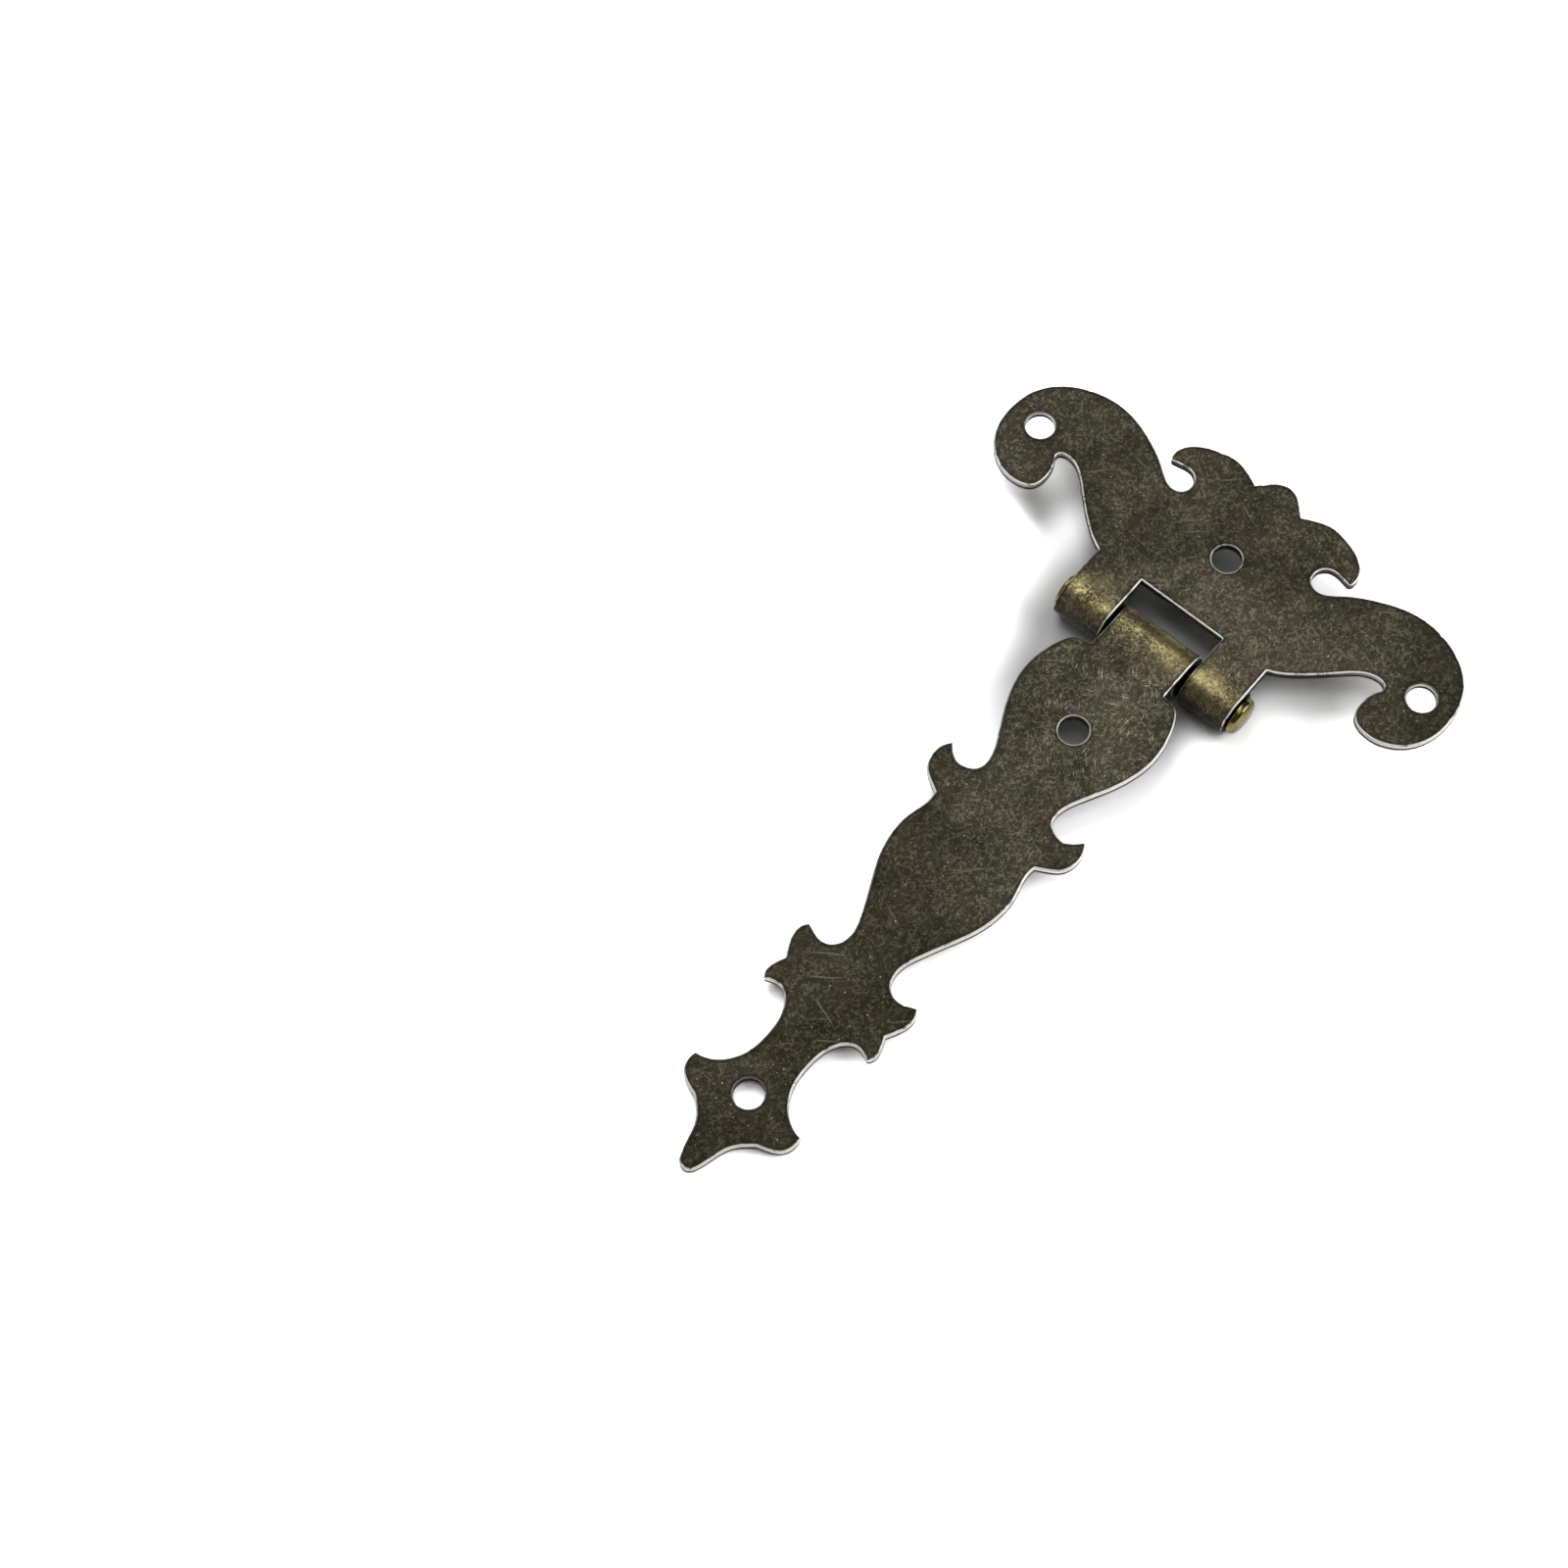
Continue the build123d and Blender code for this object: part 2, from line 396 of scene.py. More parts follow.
def face_marks(co, high, inward, shade_reach):
    """Marks that depend on the place in the flat leaf: the rub with its painted crown highlight,
    painted shade on a knuckle's lower side, on cut walls near the knuckles and under the sheet, and
    the use with its painted sheen.
    """
    sizes = bpy.context.scene.box_hinge_sizes
    axis_y = pin_axis_y()
    beyond = (axis_y - co[:, 1]) * inward
    rolled = beyond / roll_length() * sizes.roll_sweep
    crown = np.where(beyond > 0, rolled, beyond / (sizes.bore + sizes.sheet))
    finished = co[:, 2] > high.z - 0.3 * MM
    spread = np.where(crown < CROWN_ANGLE, 1.0, 0.36)
    # brass rub on a knuckle's crown, which also serves as its painted highlight
    rub_and_highlight = np.exp(-((crown - CROWN_ANGLE) / spread) ** 2) * finished
    # painted shade on the lower side of a knuckle
    shade = np.clip((crown - 0.9) / 0.5, 0, 1)
    from_pin = np.hypot(co[:, 0], co[:, 1] - axis_y)
    # painted shade: cut walls of the rolled knuckle and of the sheet round the pin turn black
    wall_shade = np.where(beyond > 0, 1, np.clip((shade_reach - from_pin) / (0.4 * shade_reach), 0, 1))
    # painted sheen: lighter round a middle beside the pin and darker towards the strap's tip; the
    # handling scuffs follow it too
    from_use_and_sheen = np.hypot(co[:, 0] - USE_AND_SHEEN_MIDDLE[0], co[:, 1] - axis_y - USE_AND_SHEEN_MIDDLE[1]) / USE_AND_SHEEN_REACH
    use_and_sheen = np.exp(-from_use_and_sheen ** 2) - 0.45 * np.clip((axis_y - co[:, 1]) / (60 * MM), 0, 1)
    # the side of the sheet away from its finished face is marked for painted shade
    return {"rub_and_highlight": rub_and_highlight, "shade": shade, "wall_shade": wall_shade, "underside_shade": 1.0 - finished, "use_and_sheen": use_and_sheen}


def roll_up(co, low, high, inward):
    """Bend what lies past the pin round it, and keep every point in the CAD leaf's box."""
    sizes = bpy.context.scene.box_hinge_sizes
    outer_radius = sizes.bore + sizes.sheet
    axis_z = high.z - outer_radius
    axis_y = pin_axis_y()
    beyond = (axis_y - co[:, 1]) * inward
    turned = beyond > 0
    angle = np.where(turned, beyond / roll_length() * sizes.roll_sweep, 0)
    radius = outer_radius - (high.z - co[:, 2])
    co[turned, 1] = (axis_y - inward * radius * np.sin(angle))[turned]
    co[turned, 2] = (axis_z + radius * np.cos(angle))[turned]
    return np.clip(co, np.array(low), np.array(high))


def build_leaf(node, body, seed, inward, shade_reach):
    """Mesh object of a leaf: worn edges, nicks and a knuckle rolled on from the flat sheet.

    inward is +1 where the knuckle runs off towards -Y, -1 where it runs off towards +Y.
    """
    sizes = bpy.context.scene.box_hinge_sizes
    low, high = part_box(node)
    top = high.z - sizes.plating
    edge = LeafEdge(flat_outlines(node, inward), seed)
    places, wall, rim, shade_band = edge.rings(top)
    faces = edge.ring_faces(len(places))

    inner_loops = [places[-1][a:b, :2] for a, b in edge.spans()]
    grid = inner_grid(low, high, inward, inner_loops)
    count = edge.count
    top_start = (len(places) - 1) * count
    grid_top = len(places) * count
    grid_under = grid_top + len(grid)
    for t in fill(inner_loops, edge.following, grid):
        faces.append(tuple(top_start + i if i < count else grid_top + i - count for i in t))
        faces.append(tuple(i if i < count else grid_under + i - count for i in reversed(t)))
    for height in (top, 0.0):
        places.append(np.column_stack([grid, np.full(len(grid), height)]))
        for mark in (wall, rim, shade_band):
            mark.append(np.zeros(len(grid)))

    flat = np.concatenate(places)
    marks = {"wall": np.concatenate(wall), "rim": np.concatenate(rim), "shade_band": np.concatenate(shade_band)}
    marks |= face_marks(flat, high, inward, shade_reach)
    mesh = bpy.data.meshes.new("dressed_" + node)
    mesh.from_pydata([tuple(p) for p in roll_up(flat, low, high, inward)], [], faces)
    for name, values in marks.items():
        mesh.attributes.new(name, "FLOAT", "POINT").data.foreach_set(
            "value", values.astype(np.float32))
    mesh.validate()
    mesh.shade_smooth()
    leaf = bpy.data.objects.new("dressed_" + node, mesh)
    bpy.context.collection.objects.link(leaf)
    mesh.materials.append(sheet_material())
    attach(leaf, body)
    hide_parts(node)
    return leaf


# Node groups shared by the materials

class Tree:
    """Short calls for adding nodes to one tree."""

    def __init__(self, tree):
        self.tree = tree

    def add(self, kind, **values):
        """A new node, with some of its properties set."""
        node = self.tree.nodes.new(kind)
        for name, value in values.items():
            setattr(node, name, value)
        return node

    def link(self, output, socket):
        """Lead an output into an input."""
        self.tree.links.new(output, socket)

    def put(self, socket, value):
        """Give an input a link or a plain value, or leave it where the value is None."""
        if isinstance(value, bpy.types.NodeSocket):
            self.link(value, socket)
        elif value is not None:
            socket.default_value = value

    def math(self, operation, a, b=None, clamp=False):
        """Result of a math node."""
        node = self.add("ShaderNodeMath", operation=operation, use_clamp=clamp)
        for socket, value in zip(node.inputs, (a, b)):
            self.put(socket, value)
        return node.outputs[0]

    def times(self, a, b):
        """Product of two values."""
        return self.math("MULTIPLY", a, b)

    def most(self, *masks):
        """The largest of several masks."""
        largest = masks[0]
        for mask in masks[1:]:
            largest = self.math("MAXIMUM", largest, mask)
        return largest

    def ramp(self, value, low, high, to_low=0.0, to_high=1.0):
        """A value carried smoothly from one range over to another."""
        node = self.add("ShaderNodeMapRange", interpolation_type="SMOOTHSTEP")
        for socket, given in zip(node.inputs, (value, low, high, to_low, to_high)):
            self.put(socket, given)
        return node.outputs[0]

    def noise(self, vector, scale, detail=3.0, roughness=0.55):
        """Clouds of noise, from 0 to 1."""
        node = self.add("ShaderNodeTexNoise")
        self.put(node.inputs["Vector"], vector)
        self.put(node.inputs["Scale"], scale)
        self.put(node.inputs["Detail"], detail)
        self.put(node.inputs["Roughness"], roughness)
        return node.outputs["Fac"]

    def mix(self, factor, a, b):
        """A blend of two colours, through the mix node's colour sockets 6, 7 and 2."""
        node = self.add("ShaderNodeMix", data_type="RGBA")
        self.put(node.inputs["Factor"], factor)
        self.put(node.inputs[6], a)
        self.put(node.inputs[7], b)
        return node.outputs[2]

    def scaled(self, vector, factor):
        """A vector or a colour, times a number."""
        node = self.add("ShaderNodeVectorMath", operation="SCALE")
        self.put(node.inputs[0], vector)
        self.put(node.inputs["Scale"], factor)
        return node.outputs[0]

    def stretched(self, vector, turn, scale, shift=(0, 0, 0)):
        """A place turned about Z, then stretched and shifted."""
        turned = self.add("ShaderNodeVectorRotate", rotation_type="Z_AXIS")
        self.put(turned.inputs["Vector"], vector)
        turned.inputs["Angle"].default_value = turn
        node = self.add("ShaderNodeMapping")
        self.put(node.inputs["Vector"], turned.outputs[0])
        node.inputs["Location"].default_value = shift
        node.inputs["Scale"].default_value = scale
        return node.outputs[0]

    def away_from(self, place, point):
        """How far a place lies from a point."""
        node = self.add("ShaderNodeVectorMath", operation="DISTANCE")
        self.link(place, node.inputs[0])
        node.inputs[1].default_value = point
        return node.outputs["Value"]


def shader_group(name, inputs, outputs):
    """New shader node group with its sockets, or None if it is there already."""
    if name in bpy.data.node_groups:
        return None
    group = bpy.data.node_groups.new(name, "ShaderNodeTree")
    for socket, kind in inputs:
        group.interface.new_socket(socket, in_out="INPUT", socket_type=kind)
    for socket, kind in outputs:
        group.interface.new_socket(socket, in_out="OUTPUT", socket_type=kind)
    return group


def stroke_layer(t, place, turn, scale, shift):
    """Short bent strokes along the ridges of a noise, in patches."""
    turned = t.stretched(place, turn, (scale, 0.6 * scale, scale), shift)
    ridge = t.math("ABSOLUTE", t.math("SUBTRACT", t.noise(turned, 1.0, 2.0, 0.6), 0.5))
    patches = t.noise(t.stretched(place, turn, (1, 1, 1), shift), 2.6, 3.0)
    return t.times(t.ramp(ridge, 0.01, 0.05, 1.0, 0.0), t.ramp(patches, 0.48, 0.6))


def specks(t, place):
    """Small round specks, stronger and weaker by chance."""
    dots = t.add("ShaderNodeTexVoronoi")
    t.link(place, dots.inputs["Vector"])
    dots.inputs["Scale"].default_value = 1.9
    chance = t.add("ShaderNodeSeparateColor")
    t.link(dots.outputs["Color"], chance.inputs[0])
    dot = t.ramp(dots.outputs["Distance"], 0.1, 0.24, 1.0, 0.0)
    return t.times(dot, t.ramp(chance.outputs[0], 0.5, 0.95))


def patina_group():
    """Masks of an aged bronze finish, from a place in millimetres."""
    names = ("Tint", "Zone", "Mottle", "Grain", "Strokes", "Speckle")
    group = shader_group("patina", [("Place", "NodeSocketVector")],
                         [(name, "NodeSocketFloat") for name in names])
    if group:
        t = Tree(group)
        place = t.add("NodeGroupInput").outputs["Place"]
        out = t.add("NodeGroupOutput").inputs
        # scale, detail and roughness of each kind of cloud, and the range in which it shows
        clouds = {"Tint": (0.22, 4.0, 0.7, 0.4, 0.6), "Zone": (0.09, 3.0, 0.6, 0.4, 0.62),
                  "Mottle": (0.7, 5.0, 0.75, 0.34, 0.66), "Grain": (3.1, 3.0, 0.7, 0.32, 0.68)}
        for name, (scale, detail, roughness, low, high) in clouds.items():
            t.link(t.ramp(t.noise(place, scale, detail, roughness), low, high), out[name])
        # turn, scale and shift of each layer of strokes
        layers = ((0.4, 0.9, (0, 0, 0)), (1.9, 1.3, (6, 1, 0)), (3.3, 1.9, (2, 8, 0)))
        t.link(t.most(*[stroke_layer(t, place, *layer) for layer in layers]), out["Strokes"])
        t.link(specks(t, place), out["Speckle"])
    return bpy.data.node_groups["patina"]


def wavy(t, place):
    """A place pushed about a little, so that long marks bend."""
    bend = t.add("ShaderNodeTexNoise")
    t.link(place, bend.inputs["Vector"])
    bend.inputs["Scale"].default_value = 0.16
    pushed = t.add("ShaderNodeVectorMath", operation="MULTIPLY_ADD")
    t.link(bend.outputs["Color"], pushed.inputs[0])
    pushed.inputs[1].default_value = (1.6, 1.6, 0)
    t.link(place, pushed.inputs[2])
    return pushed.outputs[0]


def scratch_layer(t, place, bent, turn, shift):
    """Long fine scratches in one direction, in patches."""
    lines = t.noise(t.stretched(bent, turn, (0.1, 3.4, 1.0), shift), 1.0, 2.0, 0.5)
    patches = t.noise(t.stretched(place, turn, (0.2, 0.4, 1), shift), 1.0, 2.0)
    return t.times(t.ramp(lines, 0.63, 0.72), t.ramp(patches, 0.48, 0.64))


def scuff_layer(t, place, bent, turn, shift):
    """Short close scuffs in one direction, in patches."""
    lines = t.noise(t.stretched(bent, turn, (0.8, 7.0, 1), shift), 1.0, 3.0, 0.6)
    patches = t.noise(t.stretched(place, 0, (0.4, 0.4, 1), shift), 1.0, 2.0)
    return t.times(t.ramp(lines, 0.58, 0.67), t.ramp(patches, 0.5, 0.62))


def scratches_group():
    """Fine scratches and scuffs in several directions, from a place in millimetres."""
    group = shader_group("fine_scratches", [("Place", "NodeSocketVector")],
                         [("Scratch", "NodeSocketFloat"), ("Scuff", "NodeSocketFloat")])
    if group:
        t = Tree(group)
        place = t.add("NodeGroupInput").outputs["Place"]
        out = t.add("NodeGroupOutput").inputs
        bent = wavy(t, place)
        # turn and shift of each layer
        scratches = ((0.35, (0, 0, 0)), (1.3, (7, 3, 0)), (-0.75, (2, 9, 0)), (2.5, (5, 5, 0)))
        scuffs = ((1.5, (3, 4, 0)), (0.9, (6, 1, 0)), (-0.4, (1, 7, 0)))
        for name, kind, layers in (("Scratch", scratch_layer, scratches),
                                   ("Scuff", scuff_layer, scuffs)):
            t.link(t.most(*[kind(t, place, bent, *layer) for layer in layers]), out[name])
    return bpy.data.node_groups["fine_scratches"]


def place_in_millimetres(t):
    """Object coordinates, in millimetres."""
    return t.scaled(t.add("ShaderNodeTexCoord").outputs["Object"], 1000)


def used(t, group, place):
    """Outputs of a shared group at a place."""
    node = t.add("ShaderNodeGroup", node_tree=group)
    t.link(place, node.inputs["Place"])
    return node.outputs


def attribute(t, name):
    """A mark that the mesh carries at its points."""
    return t.add("ShaderNodeAttribute", attribute_name=name).outputs["Fac"]


# Materials

def new_material(name):
    """A material with only a shader in it, its tree and the shader."""
    material = bpy.data.materials.new(name)
    material.use_nodes = True
    material.node_tree.nodes.clear()
    t = Tree(material.node_tree)
    shader = t.add("ShaderNodeBsdfPrincipled")
    out = t.add("ShaderNodeOutputMaterial")
    t.link(shader.outputs[0], out.inputs["Surface"])
    return material, t, shader


def rgba(value, share=1.0):
    """A share of a colour, with its alpha."""
    return (*(share * v for v in value), 1.0)


def rough_surface(t, shader, height, strength, distance):
    """Give the shader a fine relief from a mask of heights."""
    bump = t.add("ShaderNodeBump")
    bump.inputs["Strength"].default_value = strength
    bump.inputs["Distance"].default_value = distance
    t.link(height, bump.inputs["Height"])
    t.link(bump.outputs[0], shader.inputs["Normal"])


def bronze_tone(t, patina):
    """How pale the bronze is, from fine, middling and wide clouds."""
    tone = t.math("ADD", t.times(patina["Grain"], 0.33), t.times(patina["Mottle"], 0.33))
    return t.math("ADD", tone, t.times(patina["Zone"], 0.34))


def bronze_face(t, patina, marks, tone, use_and_sheen):
    """Colour of the mottled bronze with its pale marks, lightened and darkened by the painted sheen,
    and the mask of those marks.
    """
    colours = bpy.context.scene.box_hinge_colours
    dark = t.mix(patina["Tint"], rgba(colours.olive, 0.4), rgba(colours.umber, 0.4))
    pale = t.mix(patina["Tint"], rgba(colours.olive, 2.0), rgba(colours.umber, 2.0))
    # painted sheen scales the face colour up and down
    face = t.scaled(t.mix(tone, dark, pale), t.ramp(use_and_sheen, -0.45, 1.0, 0.76, 1.3))
    busy = t.ramp(t.math("ADD", patina["Zone"], use_and_sheen), 0.0, 1.6, 0.35, 0.85)
    strokes = t.times(patina["Strokes"], busy)
    light = t.most(t.times(patina["Speckle"], 0.75), strokes, t.times(marks["Scratch"], 0.75))
    face = t.mix(light, face, rgba(colours.dust))
    flash = t.times(patina["Speckle"], t.ramp(patina["Mottle"], 0.5, 0.9, 0.0, 0.8))
    scuff = t.times(marks["Scuff"], t.ramp(use_and_sheen, 0.25, 0.95))
    return t.mix(t.most(flash, scuff), face, rgba(colours.dust, 2.4)), light


def rubbed_and_lit_brass(t, patina, tone):
    """Colour of the brass on a rubbed knuckle, which also stands for the painted highlight on its
    crown.
    """
    colours = bpy.context.scene.box_hinge_colours
    brass = t.mix(tone, rgba(colours.brass, 0.3), rgba(colours.brass, 1.2))
    return t.mix(t.times(patina["Strokes"], 0.6), brass, rgba(colours.brass, 1.7))


def sheet_material():
    """Antique bronze sheet, rubbed to brass on the knuckles and to bare steel at its edges, with
    painted highlights on crowns and rims and painted shade on walls, knuckle sides and the underside.
    """
    if "antique_sheet" in bpy.data.materials:
        return bpy.data.materials["antique_sheet"]
    colours = bpy.context.scene.box_hinge_colours
    material, t, shader = new_material("antique_sheet")
    place = place_in_millimetres(t)
    patina = used(t, patina_group(), place)
    marks = used(t, scratches_group(), place)
    rub_and_highlight, rim, shade_band, wall, shade, wall_shade, underside_shade, use_and_sheen = (
        attribute(t, name) for name in ("rub_and_highlight", "rim", "shade_band", "wall", "shade", "wall_shade", "underside_shade", "use_and_sheen"))
    tone = bronze_tone(t, patina)
    face, light = bronze_face(t, patina, marks, tone, use_and_sheen)

    broken = t.ramp(tone, 0.1, 0.7, 0.25, 1.0)
    # the rub mask, which also paints the crown's highlight in brass
    worn = t.math("MULTIPLY", rub_and_highlight, t.most(broken, patina["Strokes"]), clamp=True)
    face = t.mix(worn, face, rubbed_and_lit_brass(t, patina, tone))
    black = rgba(colours.umber, 0.2)
    # painted shade: a knuckle's lower side, the dark band at edges and the sheet's unfinished side go
    # towards black
    painted_shade = t.most(shade, shade_band, t.times(underside_shade, 0.7))
    face = t.mix(t.times(painted_shade, 0.75), face, black)

    torn = t.ramp(patina["Mottle"], 0.0, 0.4, 0.35, 1.3)
    # rims fade where a knuckle's painted shade falls
    rim = t.times(t.times(rim, torn), t.ramp(shade, 0.0, 1.0, 1.0, 0.15))
    # painted shade: cut walls near the knuckles and along the dark band lose their bright steel and
    # are painted black
    all_wall_shade = t.most(wall_shade, shade_band)
    clean = t.times(wall, t.math("SUBTRACT", 1.0, all_wall_shade))
    edge = t.math("MAXIMUM", rim, clean, clamp=True)
    face = t.mix(t.times(wall, all_wall_shade), face, black)
    bare = t.mix(tone, rgba(colours.steel, 0.8), rgba(colours.steel))
    t.link(t.mix(edge, face, bare), shader.inputs["Base Color"])
    t.link(t.ramp(rim, 0.2, 0.8, 0.9, 0.2), shader.inputs["Metallic"])
    t.link(t.ramp(t.most(worn, edge), 0.1, 0.9, 0.6, 0.33), shader.inputs["Roughness"])
    height = t.math("ADD", patina["Grain"], t.times(light, -0.5))
    rough_surface(t, shader, height, strength=0.5, distance=0.02 * MM)
    return material


def pin_material():
    """Brassy bronze of the pin, with handling marks."""
    if "antique_pin" in bpy.data.materials:
        return bpy.data.materials["antique_pin"]
    colours = bpy.context.scene.box_hinge_colours
    material, t, shader = new_material("antique_pin")
    place = place_in_millimetres(t)
    patina = used(t, patina_group(), place)
    scratch = used(t, scratches_group(), place)["Scratch"]
    deep = [v * share for v, share in zip(colours.brass, (0.85, 0.83, 0.68))]
    base = t.mix(patina["Mottle"], rgba(deep, 0.4), rgba(deep))
    base = t.mix(t.times(scratch, 0.4), base, rgba(colours.dust))
    base = t.mix(attribute(t, "shank"), base, rgba(colours.umber, 0.2))
    t.link(base, shader.inputs["Base Color"])
    shader.inputs["Metallic"].default_value = 1.0
    t.link(t.ramp(patina["Grain"], 0.3, 0.7, 0.12, 0.22), shader.inputs["Roughness"])
    rough_surface(t, shader, patina["Mottle"], strength=0.4, distance=0.03 * MM)
    return material


def fleck_material():
    """Pale flecks left in the finish."""
    if "pale_fleck" in bpy.data.materials:
        return bpy.data.materials["pale_fleck"]
    colours = bpy.context.scene.box_hinge_colours
    material, t, shader = new_material("pale_fleck")
    grain = used(t, patina_group(), place_in_millimetres(t))["Grain"]
    t.link(t.mix(grain, rgba(colours.dust), rgba(colours.steel)), shader.inputs["Base Color"])
    shader.inputs["Metallic"].default_value = 0.3
    shader.inputs["Roughness"].default_value = 0.5
    return material


# Pin

def dome(tip, depth, radius):
    """Profile of a domed end, from its tip out to its rim. A depth below 0 runs towards +X."""
    angles = [k / DOME_STEPS * math.pi / 2 for k in range(DOME_STEPS + 1)]
    return [(tip - depth * (1 - math.cos(a) ** 0.8), radius * math.sin(a) ** 0.9) for a in angles]


def pin_profile(low, high):
    """Places along the pin and their radii, from the head's tip to the peened tip."""
    head = (high.y - low.y) / 2 * HEAD_SHARE
    head_face = high.x - HEAD_DEPTH
    peen_face = low.x + PEEN_DEPTH
    profile = dome(high.x, HEAD_DOME, head)
    profile += [(head_face + 0.3 * MM, head), (head_face + 0.08 * MM, head - 0.01 * MM),
                (head_face, head - 0.1 * MM)]
    profile += [(head_face, SHANK_RADIUS + 0.1 * MM), (head_face, SHANK_RADIUS)]
    profile += [(x, SHANK_RADIUS)
                for x in np.linspace(head_face - 0.2 * MM, peen_face + 0.1 * MM, 12)]
    profile += [(peen_face, SHANK_RADIUS), (peen_face, PEEN_RADIUS - 0.06 * MM),
                (peen_face - 0.06 * MM, PEEN_RADIUS)]
    return profile + dome(low.x, -PEEN_DOME, PEEN_RADIUS)[::-1]


def turned_body(profile, axis):
    """Places and faces of a body turned from a profile round a line along X."""
    places, faces = [], []
    for x, radius in profile[1:-1]:
        for k in range(POINTS_AROUND):
            a = math.tau * k / POINTS_AROUND
            places.append((x, axis.y + radius * math.cos(a), axis.z + radius * math.sin(a)))
    ring_starts = range(0, len(places), POINTS_AROUND)
    following = [(k + 1) % POINTS_AROUND for k in range(POINTS_AROUND)]
    for near, far in zip(ring_starts, ring_starts[1:]):
        for k, n in enumerate(following):
            faces.append((near + k, near + n, far + n, far + k))
    tip, tail = len(places), len(places) + 1
    places += [(profile[0][0], axis.y, axis.z), (profile[-1][0], axis.y, axis.z)]
    last = ring_starts[-1]
    for k, n in enumerate(following):
        faces.append((tip, n, k))
        faces.append((tail, last + k, last + n))
    return places, faces


def build_pin():
    """The pin as one turned body, with a rounded head rim, two domed ends and a dark shank."""
    low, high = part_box("hinge_pin")
    axis = Vector((0, (low.y + high.y) / 2, (low.z + high.z) / 2))
    places, faces = turned_body(pin_profile(low, high), axis)
    mesh = bpy.data.meshes.new("dressed_pin")
    mesh.from_pydata(places, [], faces)
    shank_from = low.x + PEEN_DEPTH - 0.01 * MM
    shank_to = high.x - HEAD_DEPTH + 0.01 * MM
    shank = [float(math.hypot(y - axis.y, z - axis.z) < SHANK_RADIUS + 0.2 * MM
                   and shank_from < x < shank_to) for x, y, z in places]
    mesh.attributes.new("shank", "FLOAT", "POINT").data.foreach_set("value", shank)
    mesh.validate()
    bm = bmesh.new()
    bm.from_mesh(mesh)
    bmesh.ops.recalc_face_normals(bm, faces=bm.faces)
    bm.to_mesh(mesh)
    bm.free()
    mesh.shade_smooth()
    pin = bpy.data.objects.new("dressed_pin", mesh)
    bpy.context.collection.objects.link(pin)
    mesh.materials.append(pin_material())
    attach(pin, CROSS_BODY)
    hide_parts("hinge_pin")
    return pin


# Flecks

def random_vector(t, low, high, seed):
    """A random vector for each point, between two corners."""
    node = t.add("FunctionNodeRandomValue", data_type="FLOAT_VECTOR")
    node.inputs["Min"].default_value = low
    node.inputs["Max"].default_value = high
    t.link(seed, node.inputs["Seed"])
    return node.outputs[0]


def fleck_tree():
    """Geometry Nodes that scatter flat flecks over the upward faces of a mesh."""
    if "scattered_flecks" in bpy.data.node_groups:
        return bpy.data.node_groups["scattered_flecks"]
    group = bpy.data.node_groups.new("scattered_flecks", "GeometryNodeTree")
    for name, kind in (("Geometry", "NodeSocketGeometry"), ("Density", "NodeSocketFloat"),
                       ("Width", "NodeSocketFloat"), ("Seed", "NodeSocketInt"),
                       ("Material", "NodeSocketMaterial")):
        group.interface.new_socket(name, in_out="INPUT", socket_type=kind)
    group.interface.new_socket("Geometry", in_out="OUTPUT", socket_type="NodeSocketGeometry")
    t = Tree(group)
    given = t.add("NodeGroupInput").outputs
    normal = t.add("ShaderNodeSeparateXYZ")
    t.link(t.add("GeometryNodeInputNormal").outputs[0], normal.inputs[0])
    upward = t.add("FunctionNodeCompare", data_type="FLOAT", operation="GREATER_THAN")
    t.link(normal.outputs["Z"], upward.inputs["A"])
    upward.inputs["B"].default_value = 0.999
    scatter = t.add("GeometryNodeDistributePointsOnFaces", distribute_method="RANDOM")
    t.link(given["Geometry"], scatter.inputs["Mesh"])
    t.link(upward.outputs[0], scatter.inputs["Selection"])
    t.link(given["Density"], scatter.inputs["Density"])
    t.link(given["Seed"], scatter.inputs["Seed"])
    ball = t.add("GeometryNodeMeshIcoSphere")
    ball.inputs["Radius"].default_value = 0.5
    ball.inputs["Subdivisions"].default_value = 2
    spread = random_vector(t, (0.35, 0.35, 0.12), (1.2, 0.9, 0.18), given["Seed"])
    turn = random_vector(t, (0, 0, 0), (0, 0, math.tau), given["Seed"])
    place = t.add("GeometryNodeInstanceOnPoints")
    t.link(scatter.outputs["Points"], place.inputs["Points"])
    t.link(ball.outputs["Mesh"], place.inputs["Instance"])
    t.link(turn, place.inputs["Rotation"])
    t.link(t.scaled(spread, given["Width"]), place.inputs["Scale"])
    real = t.add("GeometryNodeRealizeInstances")
    t.link(place.outputs[0], real.inputs[0])
    paint = t.add("GeometryNodeSetMaterial")
    t.link(real.outputs[0], paint.inputs["Geometry"])
    t.link(given["Material"], paint.inputs["Material"])
    t.link(paint.outputs[0], t.add("NodeGroupOutput").inputs["Geometry"])
    return group


